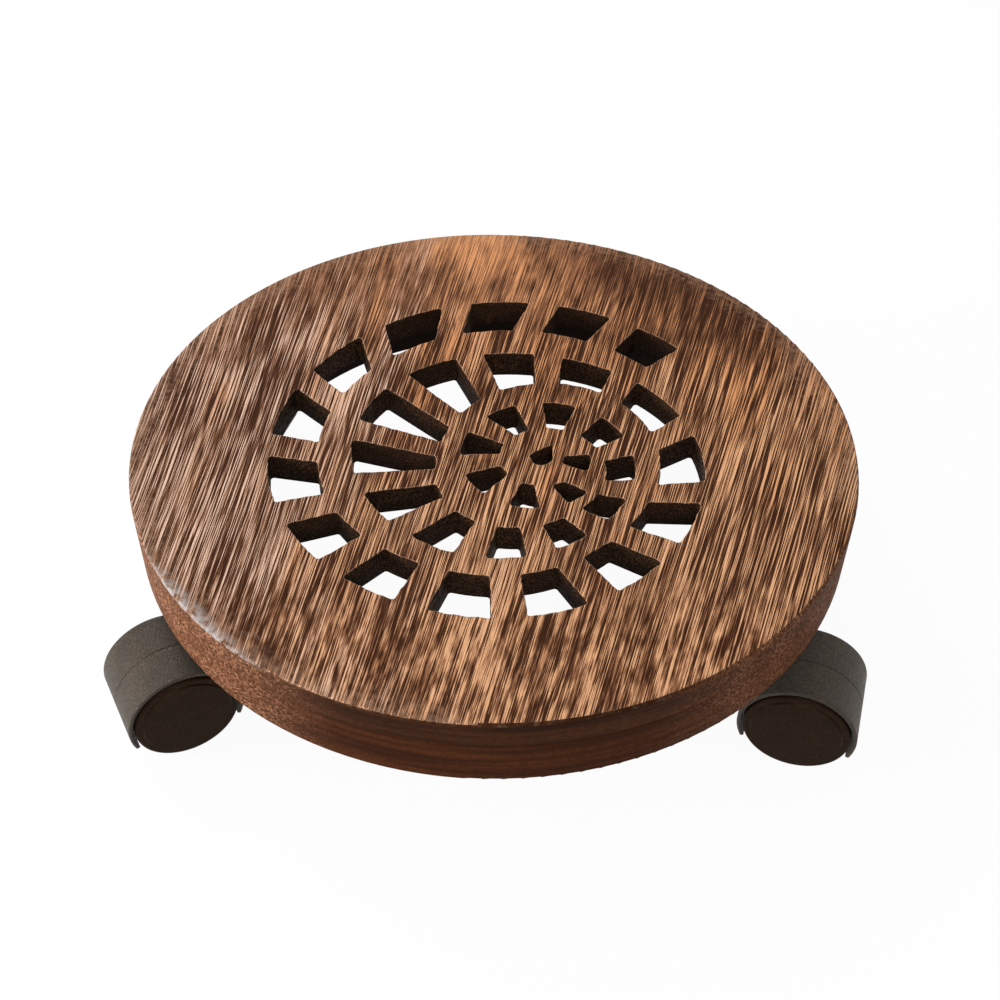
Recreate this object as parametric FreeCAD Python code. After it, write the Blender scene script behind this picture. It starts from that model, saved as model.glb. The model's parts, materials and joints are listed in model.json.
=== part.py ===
"""Round plant pot caddy: a two-layer wooden board on four hooded twin-wheel casters.

Millimetres, +Z up.  The origin is on the floor, straight below the middle of the board.
The front of the caddy faces -Y.
"""
import FreeCAD, Part
import math
import os

V = FreeCAD.Vector
UP = V(0, 0, 1)

# ---------------------------------------------------------------- driving dimensions
# board
board_diameter = 284.0
fretwork_thickness = 11.5        # upper layer, cut right through by the openings
ring_thickness = 19.0            # lower layer, a plain ring
ring_width = 41.5                # from the rim to the edge of the ring's hole
top_edge_radius = 1.0
bottom_edge_radius = 1.0
joint_chamfer = 0.4              # fine V where the two layers meet at the rim

# fretwork: one band of openings that winds inwards round an off-centre eye
pattern_margin = 5.0             # wood between the ring's hole and the widest openings
opening_corner_radius = 1.2
drop_radius = 4.2                # round end of the drop that closes the spiral
drop_length = 13.0

# casters: where they are
caster_angle = 35.4              # of each swivel axis, from the X axis
stem_edge_distance = 13.2        # swivel axis to the rim
head_room = 7.6                  # hood to the underside of the ring

# wheels and axle
wheel_diameter = 40.0
wheel_overall_width = 34.6       # over both outer faces
wheel_hub_diameter = 14.0
wheel_rim_thickness = 3.5
wheel_face_thickness = 4.5
wheel_edge_radius = 0.9
face_disc_margin = 2.7           # tread to the raised round panel on each outer face
face_disc_height = 0.5
axle_diameter = 5.0
axle_cover = 2.8                 # wheel left over the blind end of the bore
axle_chamfer = 0.4

# hood
hood_wall = 1.6
hood_clearance = 0.8             # tread to the inside of the hood
hood_setback = 0.8               # wheel's outer face to the hood's edge
hood_outer_lip = 20.0            # degrees that the hood reaches below the axle, far side
hood_inner_lip = 26.0            # the same on the stem's side
hood_edge_radius = 0.6
web_thickness = 6.0
web_drop = 8.0                   # how far the web reaches below the axle
neck_wall = 4.0
socket_wall = 2.2
socket_floor = 2.5               # plastic under the end of the stem

# stem and what sits on it
stem_diameter = 8.0
stem_depth = 18.0                # how deep the stem goes into the hood
stem_inset = 5.4                 # hood's outside to the swivel axis, level
stem_tip_chamfer = 0.6
flange_width = 5.0               # stem to the flange's rim
flange_thickness = 1.5
hex_width = 13.0                 # across flats
hex_height = 3.5
washer_width = 2.79              # radial
washer_thickness = 1.2
grip_ring_width = 1.2
grip_ring_height_in_socket = 5.0  # from the stem's end to the middle of the ring
grip_ring_bite = 0.7             # radial depth of the ring in the stem and in the socket
insert_wall = 2.0
insert_length = 12.0
insert_chamfer = 0.5

# clearances
running_gap = 0.06               # radial, between turning metal and plastic
face_gap = 0.2                   # between flat faces that turn past each other
groove_gap = 0.15                # round the grip ring in its grooves
hub_gap = 0.4                    # hub to web
tread_gap = 0.44                 # tread to the socket between the wheels

# ---------------------------------------------------------------- worked-out sizes
wheel_radius = wheel_diameter / 2
axle_radius = axle_diameter / 2
axle_height = wheel_radius
wheel_outer_face = wheel_overall_width / 2           # measured along the axle from its middle
axle_bore_end = wheel_outer_face - axle_cover
axle_half_length = axle_bore_end - face_gap
hood_half_length = wheel_outer_face - hood_setback
hood_inner_radius = wheel_radius + hood_clearance
hood_outer_radius = hood_inner_radius + hood_wall
hood_mid_radius = hood_inner_radius + hood_wall / 2  # middle of the barrel's wall
trail = hood_outer_radius - stem_inset               # swivel axis to axle, level

caster_height = axle_height + hood_outer_radius + head_room
ring_top = caster_height + ring_thickness
board_top = ring_top + fretwork_thickness
board_radius = board_diameter / 2
hole_radius = board_radius - ring_width
pattern_radius = hole_radius - pattern_margin
swivel_radius = board_radius - stem_edge_distance

stem_radius = stem_diameter / 2
socket_radius = stem_radius + running_gap
socket_outer_radius = socket_radius + socket_wall
flange_radius = stem_radius + flange_width
insert_radius = stem_radius + insert_wall
insert_top = caster_height + insert_length
flange_bottom = caster_height - flange_thickness
hex_bottom = flange_bottom - hex_height
washer_bottom = hex_bottom - face_gap - washer_thickness
stem_bottom = washer_bottom - stem_depth
grip_ring_middle = stem_bottom + grip_ring_height_in_socket
grip_ring_inner_radius = stem_radius - grip_ring_bite
grip_ring_outer_radius = stem_radius + grip_ring_bite

# Each caster: side along X, side along Y, and how far its trail is turned from
# pointing straight outwards.  Opposite casters are turned alike.
CASTERS = {
    "front_left": (-1, -1, -5.6),
    "front_right": (1, -1, 20.4),
    "back_right": (1, 1, -5.6),
    "back_left": (-1, 1, 20.4),
}

# The band of openings at every third opening: the angle round the eye, how far the
# bars lean from the outer to the inner edge (both in degrees), and the radius of the
# outer and the inner edge from the eye (in hundredths of the pattern radius).
EYE = (0.195, -0.134)            # place of the eye, in pattern radii from the middle
OPENINGS_PER_ROW = 3
BAND = [
    (59, 2, 97, 77),
    (126, 7, 111, 91),
    (190, 1, 110, 90),
    (250, -3, 91, 71),
    (325, -8, 69, 50),
    (432, -2, 65, 49),
    (520, 6, 79, 42),
    (591, -1, 66, 46),
    (672, -9, 42, 32),
    (796, -4, 35, 19),
    (931, -3, 32, 17),
    (1063, -12, 25, 17),
]
OPENING_COUNT = OPENINGS_PER_ROW * (len(BAND) - 1)
# Bars between the openings, at their outer and at their inner ends: the first bar and the
# last (in hundredths of the pattern radius).
OUTER_BARS = (14, 11.5)
INNER_BARS = (13.5, 7)
# The last opening closes the winding beside the eye.  It is a plain sector: its angle, its
# outer and inner radius (in hundredths of the pattern radius) and its spread.
LAST_OPENING = (1073, 20, 9, 28)
DROP_TURN = 60.0                 # direction of the drop's point, in degrees


# ---------------------------------------------------------------- small helpers
def cylinder(radius, bottom, top, x=0.0, y=0.0):
    """Upright cylinder between two heights."""
    return Part.makeCylinder(radius, top - bottom, V(x, y, bottom), UP)


def cross_cylinder(radius, half_length):
    """Cylinder along Y about the axle of a caster that trails towards +X."""
    return Part.makeCylinder(radius, 2 * half_length, V(trail, -half_length, axle_height), V(0, 1, 0))


def tube(outer, inner, bottom, top):
    return cylinder(outer, bottom, top).cut(cylinder(inner, bottom, top))


def edges_where(solid, test):
    return [edge for edge in solid.Edges if test(edge)]


def is_circle(edge, radius, height=None):
    """True for a round edge of this radius about Z, at this height if one is given."""
    curve = edge.Curve
    if not isinstance(curve, Part.Circle) or abs(curve.Radius - radius) > 1e-6:
        return False
    return height is None or abs(curve.Center.z - height) < 1e-6


# ---------------------------------------------------------------- wooden board
def band_value(column, place):
    """A column of BAND at any place along it, counted in openings, on a smooth curve."""
    values = [row[column] for row in BAND]
    values = [2 * values[0] - values[1]] + values + [2 * values[-1] - values[-2]]
    rows = place / OPENINGS_PER_ROW
    first = min(max(math.floor(rows), 0), len(BAND) - 2)
    u = rows - first
    a, b, c, d = values[first:first + 4]
    return b + u * (c - a + u * (2 * a - 5 * b + 4 * c - d + u * (3 * b - 3 * c + d - a))) / 2


def eye_point(hundredths, degrees):
    """Point at a radius and an angle about the eye, where the two layers meet."""
    eye = V(EYE[0] * pattern_radius, EYE[1] * pattern_radius, ring_top)
    radius = hundredths * pattern_radius / 100
    angle = math.radians(degrees)
    return eye + V(radius * math.cos(angle), radius * math.sin(angle), 0)


def band_point(place, inner):
    """Point on the outer or the inner edge of the band."""
    lean = band_value(1, place) / 2
    return eye_point(band_value(3 if inner else 2, place),
                     band_value(0, place) + (lean if inner else -lean))


def opening_cutter(outer, inner):
    """One opening between two curved ends of three points each, with straight sides."""
    wire = Part.Wire([
        Part.Arc(outer[0], outer[1], outer[2]).toShape(),
        Part.LineSegment(outer[2], inner[2]).toShape(),
        Part.Arc(inner[2], inner[1], inner[0]).toShape(),
        Part.LineSegment(inner[0], outer[0]).toShape(),
    ])
    prism = Part.Face(wire).extrude(V(0, 0, fretwork_thickness))
    corners = edges_where(prism, lambda e: abs(e.tangentAt(e.FirstParameter).z) > 0.999)
    return prism.makeFillet(opening_corner_radius, corners)


def band_cutter(number):
    """An opening of the band: its ends follow the band's two edges, with a bar each side."""
    share = number / (OPENING_COUNT - 1)
    edges = []
    for inner, (first, last) in ((False, OUTER_BARS), (True, INNER_BARS)):
        pitch = (band_point(number + 0.5, inner) - band_point(number - 0.5, inner)).Length
        bar = (first + (last - first) * share) * pattern_radius / 100
        half = 0.5 * (1 - bar / pitch)
        edges.append([band_point(number + half * side, inner) for side in (-1, 0, 1)])
    return opening_cutter(*edges)


def last_cutter():
    """The small opening beside the eye."""
    angle, outer, inner, spread = LAST_OPENING
    return opening_cutter(*[[eye_point(radius, angle + spread * side / 2) for side in (-1, 0, 1)]
                            for radius in (outer, inner)])


def drop_cutter():
    """The drop in the eye of the spiral: a round end drawn out to a point."""
    reach = drop_length - drop_radius
    touch = math.acos(drop_radius / reach)
    ends = [V(drop_radius * math.cos(touch), s * drop_radius * math.sin(touch), 0) for s in (1, -1)]
    point = V(reach, 0, 0)
    wire = Part.Wire([
        Part.Arc(ends[0], V(-drop_radius, 0, 0), ends[1]).toShape(),
        Part.LineSegment(ends[1], point).toShape(),
        Part.LineSegment(point, ends[0]).toShape(),
    ])
    prism = Part.Face(wire).extrude(V(0, 0, fretwork_thickness))
    prism.rotate(V(0, 0, 0), UP, DROP_TURN)
    prism.translate(eye_point(0, 0))
    return prism


def fretwork_board():
    """Upper layer: a disc with the band of openings, rounded over at the top."""
    disc = cylinder(board_radius, ring_top, board_top)
    disc = disc.makeFillet(top_edge_radius,
                           edges_where(disc, lambda e: is_circle(e, board_radius, board_top)))
    disc = disc.makeChamfer(joint_chamfer,
                            edges_where(disc, lambda e: is_circle(e, board_radius, ring_top)))
    cutters = [band_cutter(number) for number in range(OPENING_COUNT)]
    return disc.cut(Part.makeCompound(cutters + [last_cutter(), drop_cutter()]))


def lower_ring():
    """Lower layer: a ring glued under the fretwork, bored for the four inserts."""
    ring = cylinder(board_radius, caster_height, ring_top)
    ring = ring.makeFillet(bottom_edge_radius,
                           edges_where(ring, lambda e: is_circle(e, board_radius, caster_height)))
    ring = ring.makeChamfer(joint_chamfer,
                            edges_where(ring, lambda e: is_circle(e, board_radius, ring_top)))
    ring = ring.cut(cylinder(hole_radius, caster_height, ring_top))
    ring = ring.makeFillet(bottom_edge_radius,
                           edges_where(ring, lambda e: is_circle(e, hole_radius, caster_height)))
    for name in CASTERS:
        ring = ring.cut(cylinder(insert_radius, caster_height, insert_top, *swivel_place(name)))
    return ring


# ---------------------------------------------------------------- one caster
# Every caster piece is made about the Z axis as its swivel axis, trailing towards +X,
# and put in its place by place_caster_piece.
def threaded_insert():
    """Steel sleeve in the ring that the stem screws into."""
    sleeve = tube(insert_radius, stem_radius, caster_height, insert_top)
    far_edge = edges_where(sleeve, lambda e: is_circle(e, insert_radius, insert_top))
    return sleeve.makeChamfer(insert_chamfer, far_edge)


def hexagon(width, bottom, top):
    corner = width / math.sqrt(3)
    points = [V(corner * math.cos(k * math.pi / 3), corner * math.sin(k * math.pi / 3), bottom)
              for k in range(7)]
    return Part.Face(Part.makePolygon(points)).extrude(V(0, 0, top - bottom))


def stem():
    """Swivel pin: thread, flange, hexagon and a plain shank with a groove near its end."""
    body = cylinder(stem_radius, stem_bottom, insert_top)
    tip = edges_where(body, lambda e: is_circle(e, stem_radius, stem_bottom))
    body = body.makeChamfer(stem_tip_chamfer, tip)
    body = body.fuse([
        cylinder(flange_radius, flange_bottom, caster_height),
        hexagon(hex_width, hex_bottom, flange_bottom),
    ])
    half = grip_ring_width / 2 + groove_gap
    groove = tube(flange_radius, grip_ring_inner_radius - groove_gap,
                  grip_ring_middle - half, grip_ring_middle + half)
    return body.cut(groove).removeSplitter()


def grip_ring():
    """Split spring ring that holds the hood on the stem."""
    half = grip_ring_width / 2
    ring = tube(grip_ring_outer_radius, grip_ring_inner_radius,
                grip_ring_middle - half, grip_ring_middle + half)
    split = Part.makeBox(2 * grip_ring_outer_radius, grip_ring_width, grip_ring_width,
                         V(0, -half, grip_ring_middle - half))
    return ring.cut(split)


def swivel_washer():
    """Nylon washer on top of the hood's neck."""
    bore = socket_radius + groove_gap
    return tube(bore + washer_width, bore, washer_bottom, washer_bottom + washer_thickness)


def arc_point(radius, degrees, y):
    angle = math.radians(degrees)
    return V(trail + radius * math.cos(angle), y, axle_height + radius * math.sin(angle))


def hood_barrel():
    """The half barrel over both wheels, open below."""
    start, stop = -hood_outer_lip, 180 + hood_inner_lip
    middle = (start + stop) / 2
    corners = [arc_point(r, a, -hood_half_length) for r in (hood_outer_radius, hood_inner_radius)
               for a in (start, middle, stop)]
    outer = Part.Arc(*corners[:3]).toShape()
    inner = Part.Arc(*corners[3:]).toShape()
    ends = [Part.LineSegment(corners[i], corners[i + 3]).toShape() for i in (0, 2)]
    face = Part.Face(Part.Wire(Part.__sortEdges__([outer, inner] + ends)))
    barrel = face.extrude(V(0, 2 * hood_half_length, 0))
    rims = edges_where(barrel, lambda e: isinstance(e.Curve, Part.Circle)
                       and abs(e.Curve.Radius - hood_outer_radius) < 1e-6)
    return barrel.makeFillet(hood_edge_radius, rims)


def hood():
    """Moulded body: barrel, middle web, neck and the socket that the stem turns in."""
    neck_top = washer_bottom
    web = cross_cylinder(hood_mid_radius, web_thickness / 2)
    web = web.common(Part.makeBox(2 * hood_outer_radius, web_thickness, hood_outer_radius + web_drop,
                                  V(trail - hood_outer_radius, -web_thickness / 2,
                                    axle_height - web_drop)))
    socket = cylinder(socket_outer_radius, stem_bottom - socket_floor, neck_top)
    neck = cylinder(stem_radius + neck_wall, axle_height, neck_top)
    neck = neck.cut(cross_cylinder(hood_mid_radius, hood_half_length))
    body = hood_barrel().fuse([web, socket, neck])
    body = body.cut(Part.makeCompound([
        cylinder(socket_radius, stem_bottom - face_gap, neck_top),
        cross_cylinder(axle_radius, web_thickness),
    ]))
    half = grip_ring_width / 2 + groove_gap
    groove = cylinder(grip_ring_outer_radius + groove_gap,
                      grip_ring_middle - half, grip_ring_middle + half)
    return body.cut(groove).removeSplitter()


def axle():
    """Steel pin pressed through the web."""
    pin = cross_cylinder(axle_radius, axle_half_length)
    rims = edges_where(pin, lambda e: isinstance(e.Curve, Part.Circle))
    return pin.makeChamfer(axle_chamfer, rims)


def wheel(side):
    """Nylon wheel: closed outside, hollow behind, with a blind bore for the axle.

    The profile is drawn as (radius, distance from the middle of the axle).
    """
    tread = socket_outer_radius + tread_gap
    hub = web_thickness / 2 + hub_gap
    rim_face = wheel_outer_face - face_disc_height
    pocket_floor = rim_face - wheel_face_thickness
    bore = axle_radius + running_gap
    r = wheel_edge_radius
    k = r * (1 - math.sqrt(0.5))
    hub_radius = wheel_hub_diameter / 2
    rim_inside = wheel_radius - wheel_rim_thickness
    disc_radius = wheel_radius - face_disc_margin

    def at(radius, distance):
        return V(trail + radius, side * distance, axle_height)

    def line(*points):
        return Part.makePolygon([at(*p) for p in points]).Edges

    def corner(start, middle, end):
        return [Part.Arc(at(*start), at(*middle), at(*end)).toShape()]

    edges = line((0, axle_bore_end), (bore, axle_bore_end), (bore, hub), (hub_radius, hub),
                 (hub_radius, pocket_floor), (rim_inside, pocket_floor), (rim_inside, tread),
                 (wheel_radius - r, tread))
    edges += corner((wheel_radius - r, tread), (wheel_radius - k, tread + k),
                    (wheel_radius, tread + r))
    edges += line((wheel_radius, tread + r), (wheel_radius, rim_face - r))
    edges += corner((wheel_radius, rim_face - r), (wheel_radius - k, rim_face - k),
                    (wheel_radius - r, rim_face))
    edges += line((wheel_radius - r, rim_face), (disc_radius, rim_face),
                  (disc_radius - face_disc_height, wheel_outer_face), (0, wheel_outer_face),
                  (0, axle_bore_end))
    profile = Part.Face(Part.Wire(edges))
    return profile.revolve(V(trail, 0, axle_height), V(0, 1, 0), 360)


# ---------------------------------------------------------------- placing and writing
def swivel_place(name):
    x_side, y_side, _ = CASTERS[name]
    angle = math.radians(caster_angle)
    return x_side * swivel_radius * math.cos(angle), y_side * swivel_radius * math.sin(angle)


def place_caster_piece(shape, name):
    """Turn a piece to where its caster trails and move it onto its swivel axis."""
    x, y = swivel_place(name)
    outwards = math.degrees(math.atan2(y, x))
    placed = shape.copy()
    placed.rotate(V(0, 0, 0), UP, outwards + CASTERS[name][2])
    placed.translate(V(x, y, 0))
    return placed


def save(shape, node):
    shape.exportStep("parts/%s.step" % node)


os.makedirs("parts", exist_ok=True)
save(fretwork_board(), "fretwork_board")
save(lower_ring(), "lower_ring")

caster_pieces = {
    "threaded_insert": threaded_insert(),
    "stem": stem(),
    "grip_ring": grip_ring(),
    "swivel_washer": swivel_washer(),
    "hood": hood(),
    "axle": axle(),
    "left_wheel": wheel(1),
    "right_wheel": wheel(-1),
}
for name in CASTERS:
    for piece, shape in caster_pieces.items():
        save(place_caster_piece(shape, name), "%s_%s" % (name, piece))
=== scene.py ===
"""Round plant pot caddy: a two-layer brushed wooden board on four hooded twin-wheel casters."""
import json
import math

import bmesh
import bpy
from mathutils import Matrix, Vector


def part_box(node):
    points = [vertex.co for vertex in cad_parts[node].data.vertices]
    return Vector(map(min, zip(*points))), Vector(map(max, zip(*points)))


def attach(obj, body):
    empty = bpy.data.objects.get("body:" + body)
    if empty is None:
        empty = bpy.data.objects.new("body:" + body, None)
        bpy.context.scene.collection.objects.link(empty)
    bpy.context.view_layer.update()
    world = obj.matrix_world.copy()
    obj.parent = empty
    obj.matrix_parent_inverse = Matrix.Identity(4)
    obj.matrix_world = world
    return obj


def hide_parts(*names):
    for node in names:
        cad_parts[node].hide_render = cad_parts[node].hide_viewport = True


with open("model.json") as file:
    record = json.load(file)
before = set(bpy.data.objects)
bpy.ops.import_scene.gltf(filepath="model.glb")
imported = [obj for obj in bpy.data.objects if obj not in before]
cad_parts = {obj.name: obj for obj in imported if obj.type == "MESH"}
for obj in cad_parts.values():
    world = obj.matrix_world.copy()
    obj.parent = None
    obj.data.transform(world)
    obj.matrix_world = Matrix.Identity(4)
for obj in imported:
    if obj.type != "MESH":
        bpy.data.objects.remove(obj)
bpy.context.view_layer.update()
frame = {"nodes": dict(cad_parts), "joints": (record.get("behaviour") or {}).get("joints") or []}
scene = bpy.context.scene


# ------------------------------------------------------------------ camera
# A 50 mm lens looks down on the caddy from the front at about 44 degrees, and leans a
# degree to one side.
LENS = 50.0
SENSOR = 36.0
CAMERA_PLACE = Vector((0.01296, -0.41263, 0.44344))
CAMERA_LOOK = Vector((-0.01829, 0.71868, -0.6951))
CAMERA_LEAN = math.radians(0.836)
CAMERA_YAW = math.radians(1.458)


def place_camera():
    """Puts the camera in place, with its right side level but for the lean."""
    data = bpy.data.cameras.new("camera")
    data.lens = LENS
    data.sensor_width = SENSOR
    camera = bpy.data.objects.new("camera", data)
    scene.collection.objects.link(camera)
    back = -CAMERA_LOOK.normalized()
    level = Vector((math.cos(CAMERA_YAW), math.sin(CAMERA_YAW), 0))
    up = back.cross(level)
    right = math.cos(CAMERA_LEAN) * level + math.sin(CAMERA_LEAN) * up
    turn = Matrix((right, back.cross(right), back)).transposed()
    camera.matrix_world = Matrix.Translation(CAMERA_PLACE) @ turn.to_4x4()
    scene.camera = camera


place_camera()
scene.view_settings.view_transform = "Standard"


# ------------------------------------------------------------------ studio
# A white floor and a white surround.  One soft lamp stands behind the caddy on its left,
# one in front of it and one low at its left, and a weak one fills in from its right.
WHITE = (1.0, 1.0, 1.0, 1.0)
FLOOR_WHITE = (0.8, 0.8, 0.8, 1)
FLOOR_SIZE = 6.0
FLOOR_GLOW = 0.94                # share of plain white in the floor that the camera sees
SURROUND_LIGHT = 0.55            # how strongly the surround lights the caddy
LAMP_AIM = (0, 0, 0.05)
# Each lamp's name, its place, how wide it is in metres, and its watts.
LAMPS = (("back_lamp", (-0.75, 0.85, 0.9), 0.7, 10.5),
         ("front_lamp", (0.0, -1.1, 0.9), 0.9, 8.5),
         ("left_lamp", (-1.2, -0.30, 0.31), 0.4, 17.0),
         ("right_lamp", (1.2, 0.3, 0.7), 0.6, 1.0))


def plug_in(tree, node, sockets):
    """Gives each socket named a value, or another node's output."""
    for key, value in sockets.items():
        if isinstance(value, bpy.types.NodeSocket):
            tree.links.new(value, node.inputs[key])
        else:
            node.inputs[key].default_value = value


def put(tree, kind, sockets=None, **settings):
    """Adds a shader node, with its settings and what goes into its sockets."""
    node = tree.nodes.new("ShaderNode" + kind)
    for name, value in settings.items():
        setattr(node, name, value)
    plug_in(tree, node, sockets or {})
    return node


def calc(tree, operation, *values):
    return put(tree, "Math", dict(enumerate(values)), operation=operation).outputs[0]


def seen_or_mirrored(tree):
    """1 for the camera's own rays and for those sent on by a gloss or a glass, else 0."""
    path = put(tree, "LightPath").outputs
    sent_on = calc(tree, "MAXIMUM", path["Is Glossy Ray"], path["Is Transmission Ray"])
    return calc(tree, "MAXIMUM", path["Is Camera Ray"], sent_on)


def empty_material(name):
    material = bpy.data.materials.new(name)
    material.use_nodes = True
    material.node_tree.nodes.clear()
    return material


def white_floor():
    """White matt floor that the camera sees nearly as bright as the surround."""
    mesh = bpy.data.meshes.new("floor")
    bm = bmesh.new()
    bmesh.ops.create_grid(bm, x_segments=1, y_segments=1, size=FLOOR_SIZE / 2)
    bm.to_mesh(mesh)
    bm.free()
    floor = bpy.data.objects.new("floor", mesh)
    scene.collection.objects.link(floor)
    material = empty_material("floor_white")
    tree = material.node_tree
    share = calc(tree, "MULTIPLY", seen_or_mirrored(tree), FLOOR_GLOW)
    matt = put(tree, "BsdfDiffuse", {"Color": FLOOR_WHITE})
    glow = put(tree, "Emission", {"Color": WHITE, "Strength": 1.0})
    mix = put(tree, "MixShader", {0: share, 1: matt.outputs[0], 2: glow.outputs[0]})
    put(tree, "OutputMaterial", {"Surface": mix.outputs[0]})
    mesh.materials.append(material)


def white_world():
    """Even surround: white to the camera and in gloss, and a weaker light elsewhere."""
    world = bpy.data.worlds.new("surround")
    world.use_nodes = True
    tree = world.node_tree
    tree.nodes.clear()
    strength = put(tree, "MapRange", {"Value": seen_or_mirrored(tree),
                                      "To Min": SURROUND_LIGHT, "To Max": 1.0})
    colour = put(tree, "Background", {"Color": WHITE, "Strength": strength.outputs[0]})
    put(tree, "OutputWorld", {"Surface": colour.outputs[0]})
    scene.world = world


def soft_lamp(name, place, width, watts):
    data = bpy.data.lights.new(name, "AREA")
    data.size = width
    data.energy = watts
    lamp = bpy.data.objects.new(name, data)
    scene.collection.objects.link(lamp)
    lamp.matrix_world = Matrix.LocRotScale(
        Vector(place), (Vector(LAMP_AIM) - Vector(place)).to_track_quat("-Z", "Y"), None)


white_floor()
white_world()
for lamp_values in LAMPS:
    soft_lamp(*lamp_values)


# ------------------------------------------------------------------ fretwork board
# The upper layer of the board, of softwood browned by heat and then wire-brushed, which
# takes the soft wood out between the hard lines.  The openings were cut out by hand, so
# their sides are a little ragged, and handling has rounded and rubbed their upper edges.
# The lighter band along those edges and the rim is partly that wear and partly painted
# highlight, a painted glint lies on the front left of the rim's top edge, and the openings'
# sides are charred and painted dark as shade.
EDGE_ROUND = 0.00045             # rounding of the openings' upper edges
ROUNDING_STEPS = ((0.29, 0.71), (0.71, 0.29))   # shares of it, outwards and upwards
WEAR_AND_HIGHLIGHT_BAND = 0.0007               # width of the rubbed band round each opening, partly wear and partly painted highlight
RIM_BAND = 0.0009                # the same inside the rim
RIM_ROUND = 0.0010               # rounding of the rim's upper edge
RIM_REACH = RIM_ROUND * 1.1      # how near the rim's upper edge counts as worn, with its painted highlight
RIM_MARGIN = 0.004               # everything this near the outline belongs to the rim
TOP_REACH = 0.0004               # how far down the rounding still counts as the top
RAGGED = 0.00006                 # how far a side wanders in or out
LOWER_WALL = 0.55                # share of the wall in its lower row of faces
UPPER_WALL = 0.45                # and in its upper row, with the rounding
SIDE_STEP = 0.0022               # longest straight stretch of a side
MOST_CUTS = 24                   # most pieces that one side is cut into, less one
PART_WORN_AND_HIGHLIT = 0.35                 # wear, with its painted highlight, just under the rounding, where 1 is rubbed bare
SHARP_CORNER = math.radians(35)
WELD = 1e-6
LEVEL = 1e-5
HAIR = 1e-7

# The lines spread a little towards the back, as if drawn from a point well in front.
FAN_POINT = (-0.158, -0.906)     # where the lines of the grain would meet, m
FAN_MIDDLE = 0.1730              # angle from there to the middle of the board, radians
PITH_SIDE = -0.010               # the tree's middle, across the grain, radians
PITH_DEPTH = -0.012              # the same in height, m
SWAY_REACH = 0.006               # how far the lines sway from side to side, radians
WANDER_REACH = 0.011             # how unevenly the growth rings are spaced

# How many cells each pattern has: in a radian across the grain, seen from the fan's point
# and nearly a metre wide at the board, and in a metre along the grain and in height.
RINGS = 1500
SWAYS = (14, 5, 14)
WANDERS = (30, 9, 30)
STREAKS = (700, 15, 700)
FINE_LINES = (2100, 21, 2100)
FIBRES = (2900, 44, 2900)
FLECKS = (390, 95, 390)
PATCHES = (26, 11, 26)
ORANGE_PATCHES = (48, 9, 48)
GREY_PATCHES = (62, 9, 62)

# How much each pattern adds to how light the wood is.
RING_SHARE = 0.70
STREAK_SHARE = 0.45
FINE_SHARE = 3.3
FIBRE_SHARE = 1.3
PATCH_SHARE = 0.85
FLECK_SHARE = 0.35
FRONT_FLECKS = 1.05              # what the flecks gain towards the front
SHARPNESS = 1.2                  # strength of the lines in the middle of the board
FRONT_SOFTER = 0.55              # what the lines lose towards the front
BACK_SOFTER = 0.80               # and towards the back
FRONT_STRETCH = (-0.055, -0.115)
BACK_STRETCH = (0.015, 0.115)
ORANGER_BACK = 1.8               # how fast the wood turns orange towards the back
PAINTED_SHEEN_LEFT = 3.2                # and takes on a grey painted sheen towards the left

DARK_TO_MID = (0.24, 0.52)       # between which tones the browns change over
MID_TO_PALE = (0.48, 0.86)
PALE_TO_ORANGE = (0.42, 0.66)
PALE_TO_SHEEN_GREYED = (0.52, 0.86)
DARK_BROWN = (0.034, 0.0110, 0.0040, 1)
MID_BROWN = (0.205, 0.085, 0.038, 1)
PALE_BROWN = (0.640, 0.345, 0.182, 1)
ORANGE_BROWN = (0.600, 0.265, 0.110, 1)
# Pale wood greyed by a painted sheen on its ridges, more so towards the left, with random grey
# patches too.
SHEEN_GREYED_BROWN = (0.600, 0.405, 0.300, 1)
TOP_BROWNS = (DARK_BROWN, MID_BROWN, PALE_BROWN, ORANGE_BROWN, SHEEN_GREYED_BROWN)
UPPER_RIM_BROWNS = ((0.020, 0.0070, 0.0028, 1), (0.056, 0.0185, 0.0066, 1),
                    (0.098, 0.0350, 0.0115, 1), (0.090, 0.0300, 0.0090, 1),
                    (0.095, 0.0350, 0.0125, 1))
# Near-black for painted shade: on the openings' sides, which are also charred, and on the ring's
# inside under the board.
PAINTED_SHADE_BLACK = (0.010, 0.0055, 0.0035, 1)
CUT_BROWNS = (PAINTED_SHADE_BLACK, (0.018, 0.0085, 0.0042, 1), (0.075, 0.0370, 0.0190, 1),
              (0.070, 0.0320, 0.0150, 1), (0.070, 0.0370, 0.0200, 1))
# Rubbed colour along the edges: partly real wear, partly a painted highlight.
RUBBED_AND_HIGHLIT = (0.330, 0.195, 0.125, 1)
# Painted glint: a silvery grey laid on the front left of the top edge in place of a lamp's
# highlight.
PAINTED_GLINT_GREY = (0.430, 0.400, 0.385, 1)
PITTED_BROWN = (0.100, 0.038, 0.017, 1)
GOLDEN_SPECK = (0.440, 0.205, 0.112, 1)
PAINTED_GLINT_SIDE = (-0.72, -0.69, 0)  # the stretch of the top edge that carries a painted glint
PAINTED_GLINT_REACH = (0.1350, 0.1415)
RAGGED_RUBBED_HIGHLIGHT = 0.8             # how ragged the border of the rubbed band, with its painted highlight, is
RUBBED_AND_HIGHLIT_SHARE = 0.6               # how strongly the rubbed colour, with its painted highlight, and the painted glint show
PAINTED_GLINT_SHARE = 0.8
RIM_LEFT = (-0.045, -0.095)      # where the rim turns pitted, at its left
RIM_RIGHT = (0.055, 0.105)       # at its right
RIM_AHEAD = (0.035, -0.045)      # and towards the front
RIGHT_PITTING = 0.50             # how pitted its right is, where its left is 1
LEAST_PITTING = 0.12             # what is left of it at the back
RIM_SPECKS = (820, 820, 1050)    # cells per metre along each axis
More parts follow.
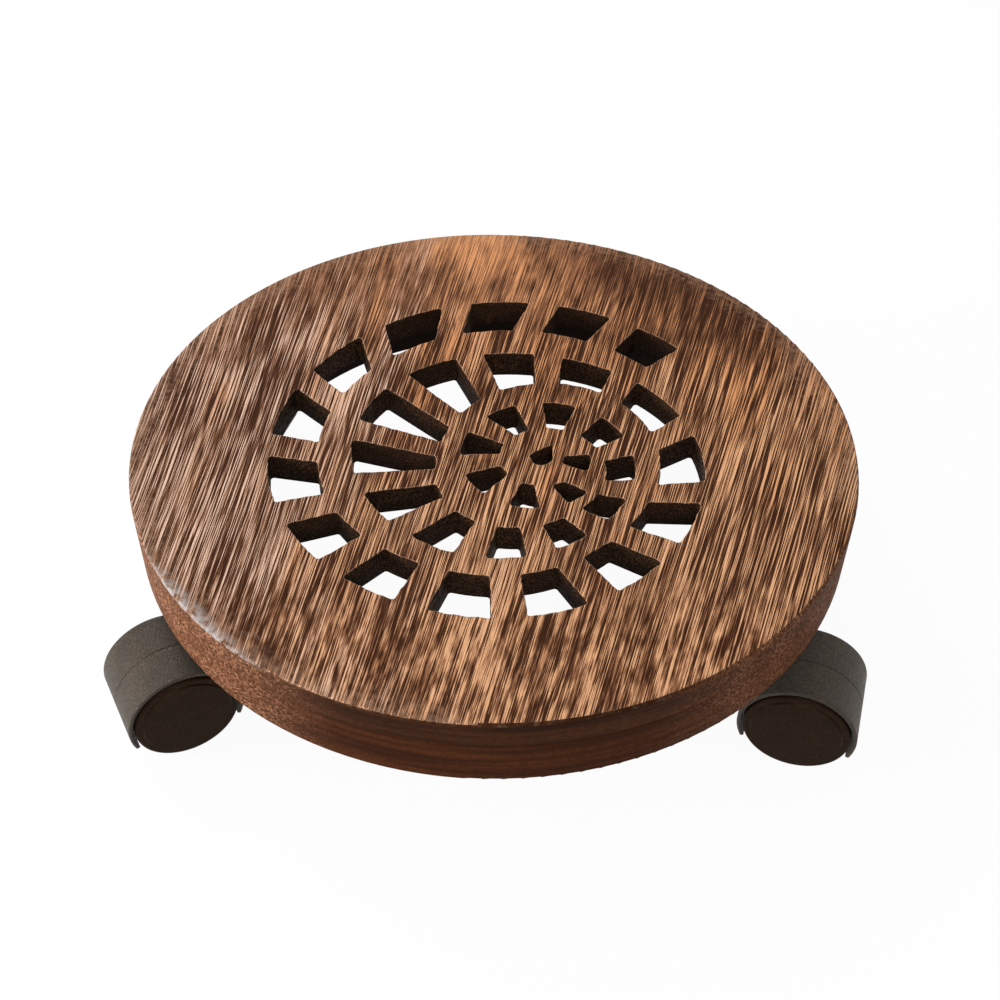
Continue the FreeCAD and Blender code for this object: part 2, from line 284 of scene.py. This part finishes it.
RIM_CLOUDS = (75, 75, 110)
RIM_LINES = (14, 14, 340)
LINED_SHARE = 0.55               # how strongly the rim's lines, pits and specks show
PITTED_SHARE = 0.60
SPECKLED_SHARE = 0.78
PAINTED_SHADE_BORDER = 0.002              # width over which the painted shade fades in
DARK_ROUGHNESS = 0.74
PALE_ROUGHNESS = 0.52
# The heat has browned it unevenly: a place, how far it reaches, and how much lighter it is.
UNEVEN_BROWNING = (((-0.005, -0.120, 0.08), 0.085, 0.11), ((-0.015, 0.125, 0.08), 0.090, 0.18),
                   ((0.100, 0.085, 0.08), 0.075, -0.08), ((0.125, -0.010, 0.08), 0.060, -0.09),
                   ((0.0, 0.0, 0.08), 0.075, -0.08), ((-0.075, 0.075, 0.08), 0.060, 0.05),
                   ((0.085, -0.095, 0.08), 0.055, 0.09), ((-0.118, 0.000, 0.08), 0.055, -0.06))


def plus(tree, first, *others):
    for other in others:
        first = calc(tree, "ADD", first, other)
    return first


def minus(tree, first, second):
    return calc(tree, "SUBTRACT", first, second)


def times(tree, first, second):
    return calc(tree, "MULTIPLY", first, second)


def distance(tree, sideways, ahead):
    """How far off a point is, from its two steps there."""
    return calc(tree, "SQRT", plus(tree, times(tree, sideways, sideways),
                                   times(tree, ahead, ahead)))


def new_group(name, inputs, outputs):
    """Shader node group with named sockets; gives its tree, what goes in and what comes out."""
    tree = bpy.data.node_groups.new(name, "ShaderNodeTree")
    for way, sockets in (("INPUT", inputs), ("OUTPUT", outputs)):
        for label, kind in sockets.items():
            tree.interface.new_socket(label, in_out=way, socket_type="NodeSocket" + kind)
    given = tree.nodes.new("NodeGroupInput").outputs
    return tree, given, tree.nodes.new("NodeGroupOutput").inputs


def use_group(tree, group, sockets):
    node = tree.nodes.new("ShaderNodeGroup")
    node.node_tree = group
    plug_in(tree, node, sockets)
    return node.outputs


def ramp(tree, value, low, high):
    """Smooth step from 0 at low to 1 at high."""
    return put(tree, "MapRange", {"Value": value, "From Min": low, "From Max": high},
               interpolation_type="SMOOTHSTEP").outputs[0]


def blend(tree, share, first, second):
    node = put(tree, "Mix", {0: share, 6: first, 7: second}, data_type="RGBA")
    return node.outputs[2]


def noise(tree, place, cells, detail=2.0, roughness=0.55):
    """Noise with a number of cells per metre: one along each axis, or one for all three."""
    stretch = cells if isinstance(cells, tuple) else (cells, cells, cells)
    scaled = put(tree, "VectorMath", {0: place, 1: stretch}, operation="MULTIPLY").outputs[0]
    return put(tree, "TexNoise", {"Vector": scaled, "Scale": 1.0, "Detail": detail,
                                  "Roughness": roughness}).outputs["Fac"]


def spot(tree, place, centre, reach):
    """1 at a place on the board, fading to 0 at some distance from it."""
    away = put(tree, "VectorMath", {0: place, 1: centre}, operation="DISTANCE").outputs["Value"]
    return ramp(tree, away, reach, 0.0)


def brushed_grain():
    """Growth rings round the pith, long streaks and fine fibres, in browns."""
    tree, given, out = new_group(
        "brushed_grain",
        {"Dark": "Color", "Mid": "Color", "Light": "Color", "Orange": "Color", "Sheen greyed": "Color",
         "Shift": "Float", "Contrast": "Float"},
        {"Colour": "Color", "Height": "Float", "Tone": "Float"})
    seen = put(tree, "TexCoord").outputs["Object"]
    flat = put(tree, "SeparateXYZ", {"Vector": seen}).outputs
    right = minus(tree, flat["X"], FAN_POINT[0])
    ahead = minus(tree, flat["Y"], FAN_POINT[1])
    turned = minus(tree, calc(tree, "ARCTAN2", right, ahead), FAN_MIDDLE)
    along = put(tree, "CombineXYZ", {"X": turned, "Y": distance(tree, right, ahead),
                                     "Z": flat["Z"]}).outputs[0]
    sway = times(tree, minus(tree, noise(tree, along, SWAYS), 0.5), SWAY_REACH)
    swayed = put(tree, "CombineXYZ", {"X": sway}).outputs[0]
    bent = put(tree, "VectorMath", {0: along, 1: swayed}, operation="ADD").outputs[0]
    split = put(tree, "SeparateXYZ", {"Vector": bent}).outputs
    radius = distance(tree, minus(tree, split["X"], PITH_SIDE),
                      minus(tree, split["Z"], PITH_DEPTH))
    wander = times(tree, noise(tree, bent, WANDERS, 3.0), WANDER_REACH)
    ring_place = times(tree, plus(tree, radius, wander), RINGS)
    ring = put(tree, "TexNoise", {"W": ring_place, "Scale": 1.0, "Detail": 2.0},
               noise_dimensions="1D").outputs["Fac"]
    fine = noise(tree, bent, FINE_LINES)
    fibre = noise(tree, bent, FIBRES, 1.0)

    def share_of(pattern, share):
        return times(tree, minus(tree, pattern, 0.5), share)
    lines = plus(tree, share_of(ring, RING_SHARE),
                 share_of(noise(tree, bent, STREAKS), STREAK_SHARE),
                 share_of(fine, FINE_SHARE), share_of(fibre, FIBRE_SHARE))
    front = ramp(tree, flat["Y"], *FRONT_STRETCH)
    back = ramp(tree, flat["Y"], *BACK_STRETCH)
    sharpness = minus(tree, minus(tree, SHARPNESS, times(tree, front, FRONT_SOFTER)),
                      times(tree, back, BACK_SOFTER))
    flecked = plus(tree, FLECK_SHARE, times(tree, front, FRONT_FLECKS))
    tone = plus(tree, times(tree, lines, sharpness),
                share_of(noise(tree, bent, FLECKS), flecked),
                share_of(noise(tree, bent, PATCHES, 3.0), PATCH_SHARE))
    for centre, reach, lift in UNEVEN_BROWNING:
        tone = plus(tree, tone, times(tree, spot(tree, seen, centre, reach), lift))
    tone = plus(tree, times(tree, tone, given["Contrast"]), plus(tree, given["Shift"], 0.5))
    warm = plus(tree, noise(tree, along, ORANGE_PATCHES, 3.0),
                times(tree, flat["Y"], ORANGER_BACK))
    light = blend(tree, ramp(tree, warm, *PALE_TO_ORANGE), given["Light"], given["Orange"])
    # Painted sheen: the pale wood turns grey in random patches and increasingly towards the
    # left.
    sheen_greyer = minus(tree, noise(tree, along, GREY_PATCHES, 3.0),
                   times(tree, flat["X"], PAINTED_SHEEN_LEFT))
    light = blend(tree, ramp(tree, sheen_greyer, *PALE_TO_SHEEN_GREYED), light, given["Sheen greyed"])
    browned = blend(tree, ramp(tree, tone, *DARK_TO_MID), given["Dark"], given["Mid"])
    tree.links.new(blend(tree, ramp(tree, tone, *MID_TO_PALE), browned, light), out["Colour"])
    tree.links.new(plus(tree, times(tree, fine, 0.8), times(tree, fibre, 0.4)), out["Height"])
    tree.links.new(tone, out["Tone"])
    return tree


def edge_wear_with_highlight():
    """Where an edge is rubbed bare, with a painted highlight on that band, and where a painted
    glint lies on the top edge.
    """
    tree, given, out = new_group("edge_wear_with_highlight", {"Amount": "Float"},
                                 {"Rubbed and highlit": "Float", "Painted glint": "Float"})
    worn_and_highlit = put(tree, "Attribute", attribute_name="wear_and_highlight").outputs["Fac"]
    seen = put(tree, "TexCoord").outputs["Object"]
    ragged = times(tree, minus(tree, noise(tree, seen, 360, 3.0), 0.5),
                   RAGGED_RUBBED_HIGHLIGHT)
    rubbed_and_highlit = plus(tree, worn_and_highlit, ragged, given["Amount"])
    tree.links.new(ramp(tree, rubbed_and_highlit, 0.60, 1.15), out["Rubbed and highlit"])
    # Painted glint: silvery flecks along the front left of the top edge, where a lamp's
    # highlight would fall.
    toward = put(tree, "VectorMath", {0: seen, 1: PAINTED_GLINT_SIDE},
                 operation="DOT_PRODUCT").outputs["Value"]
    flecks = ramp(tree, noise(tree, seen, 300, 4.0, 0.6), 0.34, 0.62)
    painted_glint = times(tree, ramp(tree, toward, *PAINTED_GLINT_REACH), flecks)
    tree.links.new(times(tree, painted_glint, ramp(tree, worn_and_highlit, 0.70, 1.0)), out["Painted glint"])
    return tree


def rim_marks():
    """Where the rim is pitted and golden, at its left and right ahead, and its soft lines."""
    tree, _, out = new_group("rim_marks", {},
                             {"Pitted": "Float", "Golden": "Float", "Line": "Float"})
    seen = put(tree, "TexCoord").outputs["Object"]
    flat = put(tree, "SeparateXYZ", {"Vector": seen}).outputs
    left = ramp(tree, flat["X"], *RIM_LEFT)
    right = times(tree, ramp(tree, flat["X"], *RIM_RIGHT), RIGHT_PITTING)
    speck = ramp(tree, noise(tree, seen, RIM_SPECKS, 3.0, 0.7), 0.45, 0.60)
    cloud = ramp(tree, noise(tree, seen, RIM_CLOUDS, 3.0), 0.36, 0.62)
    clouded = plus(tree, 0.50, times(tree, cloud, 0.50))
    ahead = plus(tree, LEAST_PITTING, times(tree, ramp(tree, flat["Y"], *RIM_AHEAD),
                                            1 - LEAST_PITTING))
    pitted = times(tree, plus(tree, left, right), ahead)
    tree.links.new(pitted, out["Pitted"])
    tree.links.new(times(tree, times(tree, speck, clouded), pitted), out["Golden"])
    tree.links.new(ramp(tree, noise(tree, seen, RIM_LINES, 3.0), 0.34, 0.66), out["Line"])
    return tree


GRAIN = brushed_grain()
EDGE_WEAR_WITH_HIGHLIGHT = edge_wear_with_highlight()
RIM_MARKS = rim_marks()


def wood_material(name, browns, shift, contrast, worn_and_highlit, relief, gloss, painted_shade_to=0.0, rim=False):
    """Brushed wood in five browns; nearer the middle than the given radius it is painted black
    as shade.
    """
    material = empty_material(name)
    tree = material.node_tree
    dark, mid, light, orange, sheen_greyed = browns
    grain = use_group(tree, GRAIN, {"Dark": dark, "Mid": mid, "Light": light, "Orange": orange,
                                    "Sheen greyed": sheen_greyed, "Shift": shift, "Contrast": contrast})
    colour, height = grain["Colour"], grain["Height"]
    if rim:
        marks = use_group(tree, RIM_MARKS, {})
        colour = blend(tree, times(tree, marks["Line"], LINED_SHARE), dark, colour)
        colour = blend(tree, times(tree, marks["Pitted"], PITTED_SHARE), colour, PITTED_BROWN)
        colour = blend(tree, times(tree, marks["Golden"], SPECKLED_SHARE), colour, GOLDEN_SPECK)
        height = plus(tree, marks["Golden"], height)
    mask = use_group(tree, EDGE_WEAR_WITH_HIGHLIGHT, {"Amount": worn_and_highlit})
    # rubbed edges: partly wear, partly painted highlight
    colour = blend(tree, times(tree, mask["Rubbed and highlit"], RUBBED_AND_HIGHLIT_SHARE), colour, RUBBED_AND_HIGHLIT)
    # painted glint on the front left of the top edge
    colour = blend(tree, times(tree, mask["Painted glint"], PAINTED_GLINT_SHARE), colour, PAINTED_GLINT_GREY)
    # Painted shade: nearer the middle, the ring's inner wall and underside under the board are
    # painted black.
    if painted_shade_to:
        seen = put(tree, "TexCoord").outputs["Object"]
        flat = put(tree, "SeparateXYZ", {"Vector": seen}).outputs
        inside = ramp(tree, distance(tree, flat["X"], flat["Y"]), painted_shade_to,
                      painted_shade_to + PAINTED_SHADE_BORDER)
        colour = blend(tree, inside, PAINTED_SHADE_BLACK, colour)
    rough = put(tree, "MapRange", {"Value": grain["Tone"], "From Min": 0.2, "From Max": 0.9,
                                   "To Min": DARK_ROUGHNESS,
                                   "To Max": PALE_ROUGHNESS}).outputs[0]
    bump = put(tree, "Bump", {"Strength": 0.8, "Distance": relief, "Height": height}).outputs[0]
    surface = put(tree, "BsdfPrincipled", {"Base Color": colour, "Roughness": rough,
                                           "Normal": bump, "Specular IOR Level": gloss})
    put(tree, "OutputMaterial", {"Surface": surface.outputs[0]})
    return material


TOP_WOOD = wood_material("brushed_top", TOP_BROWNS, shift=-0.120, contrast=1.05, worn_and_highlit=-0.15,
                         relief=0.00045, gloss=0.05)
UPPER_RIM_WOOD = wood_material("upper_rim", UPPER_RIM_BROWNS, shift=0.05, contrast=0.35,
                               worn_and_highlit=-0.35, relief=0.00030, gloss=0.03, rim=True)
# The openings' sides: charred wood, its browns kept dark as painted shade down in the openings.
CUT_WOOD = wood_material("cut_walls", CUT_BROWNS, shift=-0.06, contrast=0.7, worn_and_highlit=-0.55,
                         relief=0.0006, gloss=0.02)


def from_middle(place):
    return math.hypot(place.x, place.y)


def cut_away(face, inside, top):
    """The openings' sides and the top face, which are made again with finer detail."""
    middle = face.calc_center_median()
    side = abs(face.normal.z) < 0.05 and from_middle(middle) < inside
    return side or (face.normal.z > 0.99 and middle.z > top - LEVEL)


def open_edges(bm, height, inside):
    """Edges with one face, at a height, nearer the board's middle than a radius."""
    return [edge for edge in bm.edges if edge.is_boundary
            and all(abs(vert.co.z - height) < LEVEL and from_middle(vert.co) < inside
                    for vert in edge.verts)]


def ends_of(edges):
    return {vert for edge in edges for vert in edge.verts}


def rise(bm, edges, shift):
    """Extrudes a loop, and moves the new loop; gives its edges."""
    made = bmesh.ops.extrude_edge_only(bm, edges=edges)["geom"]
    for vert in [item for item in made if isinstance(item, bmesh.types.BMVert)]:
        vert.co += shift(vert)
    return [item for item in made if isinstance(item, bmesh.types.BMEdge) and item.is_boundary]


def into_the_wood(edges, side):
    """Stores on each point of the edges the level direction that leads into the wood."""
    for edge in edges:
        first, second = edge.verts
        run = second.co - first.co
        inwards = Vector((-run.y, run.x, 0)).normalized()
        if inwards.dot(edge.link_faces[0].calc_center_median() - (first.co + second.co) / 2) < 0:
            inwards = -inwards
        for vert in edge.verts:
            vert[side] = vert[side] + inwards
    for vert in ends_of(edges):
        vert[side] = vert[side].normalized()


def even_shading(piece):
    """Large faces keep their own normals, and the narrow roundings beside them blend."""
    weighted = piece.modifiers.new("even_shading", "WEIGHTED_NORMAL")
    weighted.keep_sharp = True
    weighted.weight = 100


def fretwork_piece():
    low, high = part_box("fretwork_board")
    rim_radius = high[0]
    inside = rim_radius - RIM_MARGIN
    bottom, top = low[2], high[2]
    tall = top - bottom
    bm = bmesh.new()
    bm.from_mesh(frame["nodes"]["fretwork_board"].data)
    bmesh.ops.remove_doubles(bm, verts=bm.verts, dist=WELD)
    bm.normal_update()
    bmesh.ops.delete(bm, geom=[face for face in bm.faces if cut_away(face, inside, top)],
                     context="FACES")
    bmesh.ops.bisect_plane(bm, geom=bm.verts[:] + bm.edges[:] + bm.faces[:], dist=HAIR,
                           plane_co=(0, 0, top - RIM_ROUND - RIM_BAND), plane_no=(0, 0, 1))
    for cuts in range(MOST_CUTS, 0, -1):
        long = [edge for edge in open_edges(bm, bottom, inside)
                if cuts == min(MOST_CUTS, int(edge.calc_length() / SIDE_STEP))]
        if long:
            bmesh.ops.subdivide_edges(bm, edges=long, cuts=cuts)
    side = bm.verts.layers.float_vector.new("wood_side")
    wear_and_highlight = bm.verts.layers.float.new("wear_and_highlight")
    outline = open_edges(bm, bottom, inside)
    into_the_wood(outline, side)

    def wander(vert):
        x, y = vert.co.x, vert.co.y
        return vert[side] * RAGGED * (math.sin(x * 911 + y * 517)
                                      + math.sin(y * 1543 - x * 733))

    def mark_worn_and_highlit(edges, amount):
        for vert in ends_of(edges):
            vert[wear_and_highlight] = amount
    ring = rise(bm, outline, lambda v: Vector((0, 0, tall * LOWER_WALL)) + wander(v))
    ring = rise(bm, ring,
                lambda v: Vector((0, 0, tall * UPPER_WALL - EDGE_ROUND)) + wander(v))
    mark_worn_and_highlit(ring, PART_WORN_AND_HIGHLIT)
    for out, up in ROUNDING_STEPS:
        ring = rise(bm, ring,
                    lambda v: v[side] * EDGE_ROUND * out + Vector((0, 0, EDGE_ROUND * up)))
        mark_worn_and_highlit(ring, 1.0)
    ring = rise(bm, ring, lambda v: v[side] * WEAR_AND_HIGHLIGHT_BAND)
    mark_worn_and_highlit(ring, 0.0)
    rim_edge = [edge for edge in bm.edges if edge.is_boundary
                and all(vert.co.z > top - LEVEL and from_middle(vert.co) > inside
                        for vert in edge.verts)]
    # The rim's upper edge gets the rubbed colour: partly wear, partly painted highlight.
    for vert in bm.verts:
        if from_middle(vert.co) > rim_radius - RIM_REACH and vert.co.z > top - RIM_REACH:
            vert[wear_and_highlight] = 1.0
    hem = rise(bm, rim_edge, lambda v: Vector((-v.co.x, -v.co.y, 0)).normalized() * RIM_BAND)
    mark_worn_and_highlit(hem, 0.0)
    bmesh.ops.triangle_fill(bm, use_beauty=True, normal=(0, 0, 1),
                            edges=[edge for edge in bm.edges if edge.is_boundary])
    bmesh.ops.recalc_face_normals(bm, faces=bm.faces)
    bm.normal_update()
    for face in bm.faces:
        face.smooth = True
        lowest = min(vert.co.z for vert in face.verts)
        if face.normal.z > 0.3 and lowest > top - TOP_REACH:
            face.material_index = 0
        elif from_middle(face.calc_center_median()) > inside:
            face.material_index = 1
        else:
            face.material_index = 2
    open_left = sum(1 for edge in bm.edges if not edge.is_manifold)
    mesh = bpy.data.meshes.new("fretwork")
    bm.to_mesh(mesh)
    bm.free()
    mesh.set_sharp_from_angle(angle=SHARP_CORNER)
    for material in (TOP_WOOD, UPPER_RIM_WOOD, CUT_WOOD):
        mesh.materials.append(material)
    piece = bpy.data.objects.new("fretwork", mesh)
    even_shading(piece)
    scene.collection.objects.link(piece)
    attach(piece, "board")
    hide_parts("fretwork_board")
    print("fretwork faces", len(mesh.polygons), "edges not closed", open_left)


fretwork_piece()


# ------------------------------------------------------------------ lower ring
# A plain ring of the same wood, glued under the fretwork.  Its rim is redder, and further
# in, on its underside and its inner wall under the board, it is painted black as shade.
PAINTED_SHADE_RADIUS = 0.1345              # radius inside which it is painted black as shade
LOWER_RIM_BROWNS = ((0.026, 0.0076, 0.0022, 1), (0.066, 0.0185, 0.0052, 1),
                    (0.115, 0.0350, 0.0098, 1), (0.105, 0.0300, 0.0080, 1),
                    (0.110, 0.0350, 0.0120, 1))
LOWER_RIM_WOOD = wood_material("lower_rim", LOWER_RIM_BROWNS, shift=0.05, contrast=0.35,
                               worn_and_highlit=-2.0, relief=0.00030, gloss=0.03, painted_shade_to=PAINTED_SHADE_RADIUS,
                               rim=True)


def finish_node(name, material):
    """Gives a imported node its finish."""
    for slot in frame["nodes"][name].material_slots:
        slot.material = material


finish_node("lower_ring", LOWER_RIM_WOOD)


# ------------------------------------------------------------------ hoods
# Each hood is one moulding in charcoal plastic with a fine spark-eroded grain: half a
# barrel over both wheels, the web between them and the neck.  Its mould parts along the
# middle of the barrel, and leaves a fine groove there.
CORNERS = ("front_left", "front_right", "back_right", "back_left")
BARREL_RADIUS = 0.0224
GROOVE_HALF_WIDTH = 0.00030
GROOVE_DEPTH = 0.00070
NEAR = 0.00006
HOOD_SHARP_CORNER = math.radians(30)
CHARCOAL = (0.056, 0.0425, 0.0310, 1)
WARM_SHEEN = (1.0, 0.93, 0.85, 1)
DUST = (0.55, 0.52, 0.48, 1)
MOULD_GRAIN = 1550               # cells per metre of the grain, and of the marks on it
MOTTLES = 90
SCUFFS = 260
DUST_SPECKS = 330.0
DUST_CLOUDS = 110
GRAIN_DARKEST = 0.52             # shade of the bottom of the grain
GRAIN_SHARE = 0.96               # and what its tops gain on that
SCUFF_SHARE = 0.005


def moulded_skin():
    """Fine moulded grain, faint mottling, scuffs and settled dust."""
    tree, given, out = new_group(
        "moulded_skin", {"Base": "Color", "Dust": "Color", "Dusty": "Float", "Least": "Float"},
        {"Colour": "Color", "Roughness": "Float", "Height": "Float"})
    seen = put(tree, "TexCoord").outputs["Object"]
    grain = ramp(tree, noise(tree, seen, MOULD_GRAIN, 3.0, 0.7), 0.34, 0.66)
    mottle = noise(tree, seen, MOTTLES, 3.0)
    scuff = ramp(tree, noise(tree, seen, SCUFFS, 4.0), 0.52, 0.72)
    speck = put(tree, "TexVoronoi", {"Vector": seen, "Scale": DUST_SPECKS}).outputs["Distance"]
    dust = times(tree, minus(tree, 1.0, ramp(tree, speck, 0.04, 0.08)),
                 ramp(tree, noise(tree, seen, DUST_CLOUDS), 0.64, 0.70))
    shade = put(tree, "MapRange", {"Value": mottle, "From Min": 0.3, "From Max": 0.7,
                                   "To Min": 0.86, "To Max": 1.16}).outputs[0]
    pitted = times(tree, shade, plus(tree, GRAIN_DARKEST, times(tree, grain, GRAIN_SHARE)))
    tinted = put(tree, "VectorMath", {0: given["Base"], "Scale": pitted},
                 operation="SCALE").outputs[0]
    settled = calc(tree, "MAXIMUM", times(tree, scuff, SCUFF_SHARE), dust)
    dusty = times(tree, settled, given["Dusty"])
    tree.links.new(blend(tree, dusty, tinted, given["Dust"]), out["Colour"])
    scuffed = plus(tree, times(tree, scuff, 0.10), given["Least"])
    tree.links.new(plus(tree, times(tree, mottle, 0.22), scuffed), out["Roughness"])
    tree.links.new(grain, out["Height"])
    return tree


MOULDED = moulded_skin()


def moulded_material(name, base, dusty, relief, gloss, rough, sheen=WHITE):
    """Moulded plastic; rough is its least roughness, and sheen tints its gloss."""
    material = empty_material(name)
    tree = material.node_tree
    skin = use_group(tree, MOULDED, {"Base": base, "Dust": DUST, "Dusty": dusty,
                                     "Least": rough})
    normal = put(tree, "Bump", {"Strength": 0.8, "Distance": relief,
                                "Height": skin["Height"]}).outputs[0]
    surface = put(tree, "BsdfPrincipled", {
        "Base Color": skin["Colour"], "Roughness": skin["Roughness"], "Normal": normal,
        "Specular IOR Level": gloss, "Specular Tint": sheen})
    put(tree, "OutputMaterial", {"Surface": surface.outputs[0]})
    return material


HOOD_PLASTIC = moulded_material("charcoal_plastic", CHARCOAL, dusty=0.8, relief=0.00055,
                                gloss=0.22, rough=0.34, sheen=WARM_SHEEN)
joints = {joint["name"]: joint for joint in frame["joints"]}


def hood_piece(corner):
    spin = joints[corner + "_left_wheel_spin"]
    centre = Vector(spin["pos_m"])
    axis = Vector(spin["axis"]).normalized()
    bm = bmesh.new()
    bm.from_mesh(frame["nodes"][corner + "_hood"].data)
    bmesh.ops.remove_doubles(bm, verts=bm.verts, dist=WELD)
    for offset in (-GROOVE_HALF_WIDTH, 0.0, GROOVE_HALF_WIDTH):
        bmesh.ops.bisect_plane(bm, geom=bm.verts[:] + bm.edges[:] + bm.faces[:], dist=HAIR,
                               plane_co=centre + axis * offset, plane_no=axis)
    for vert in bm.verts:
        place = vert.co - centre
        outwards = place - axis * place.dot(axis)
        on_barrel = abs(outwards.length - BARREL_RADIUS) < NEAR
        if on_barrel and abs(place.dot(axis)) < NEAR:
            vert.co -= outwards.normalized() * GROOVE_DEPTH
    for face in bm.faces:
        face.smooth = True
    mesh = bpy.data.meshes.new(corner + "_moulded_hood")
    bm.to_mesh(mesh)
    bm.free()
    mesh.set_sharp_from_angle(angle=HOOD_SHARP_CORNER)
    mesh.materials.append(HOOD_PLASTIC)
    piece = bpy.data.objects.new(corner + "_moulded_hood", mesh)
    even_shading(piece)
    scene.collection.objects.link(piece)
    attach(piece, corner + "_caster")
    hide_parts(corner + "_hood")


for corner in CORNERS:
    hood_piece(corner)


# ------------------------------------------------------------------ wheels
# Two to a caster, moulded in smooth dark nylon, closed outside and hollow behind.  They
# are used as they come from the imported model.
DARK_NYLON = (0.0130, 0.0056, 0.0023, 1)
BROWN_SHEEN = (1.0, 0.72, 0.48, 1)
WHEEL_NYLON = moulded_material("dark_nylon", DARK_NYLON, dusty=0.7, relief=0.00001,
                               gloss=0.05, rough=0.14, sheen=BROWN_SHEEN)
for corner in CORNERS:
    for side in ("left", "right"):
        finish_node(corner + "_" + side + "_wheel", WHEEL_NYLON)


# ------------------------------------------------------------------ washers and steel
# A washer of natural nylon runs between each hood and its stem.  Stems, axles, threaded
# sleeves and grip rings are zinc-plated steel.  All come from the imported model.
NATURAL_NYLON = (0.60, 0.58, 0.53, 1)
ZINC_DULL = (0.46, 0.47, 0.50, 1)
ZINC_BRIGHT = (0.66, 0.66, 0.64, 1)
TURNED_LINES = (700, 700, 5200)  # cells per metre of the fine lines round a turned pin


def steel_material():
    material = empty_material("zinc_plate")
    tree = material.node_tree
    seen = put(tree, "TexCoord").outputs["Object"]
    cloud = noise(tree, seen, 320, 3.0)
    colour = blend(tree, ramp(tree, cloud, 0.35, 0.65), ZINC_DULL, ZINC_BRIGHT)
    rough = put(tree, "MapRange", {"Value": cloud, "To Min": 0.22, "To Max": 0.44}).outputs[0]
    normal = put(tree, "Bump", {"Strength": 0.25, "Distance": 0.00002,
                                "Height": noise(tree, seen, TURNED_LINES)}).outputs[0]
    surface = put(tree, "BsdfPrincipled", {"Base Color": colour, "Roughness": rough,
                                           "Metallic": 1.0, "Normal": normal})
    put(tree, "OutputMaterial", {"Surface": surface.outputs[0]})
    return material


WASHER_NYLON = moulded_material("natural_nylon", NATURAL_NYLON, dusty=0.3, relief=0.00001,
                                gloss=0.5, rough=0.34)
STEEL = steel_material()
for corner in CORNERS:
    finish_node(corner + "_swivel_washer", WASHER_NYLON)
    for part in ("stem", "axle", "threaded_insert", "grip_ring"):
        finish_node(corner + "_" + part, STEEL)
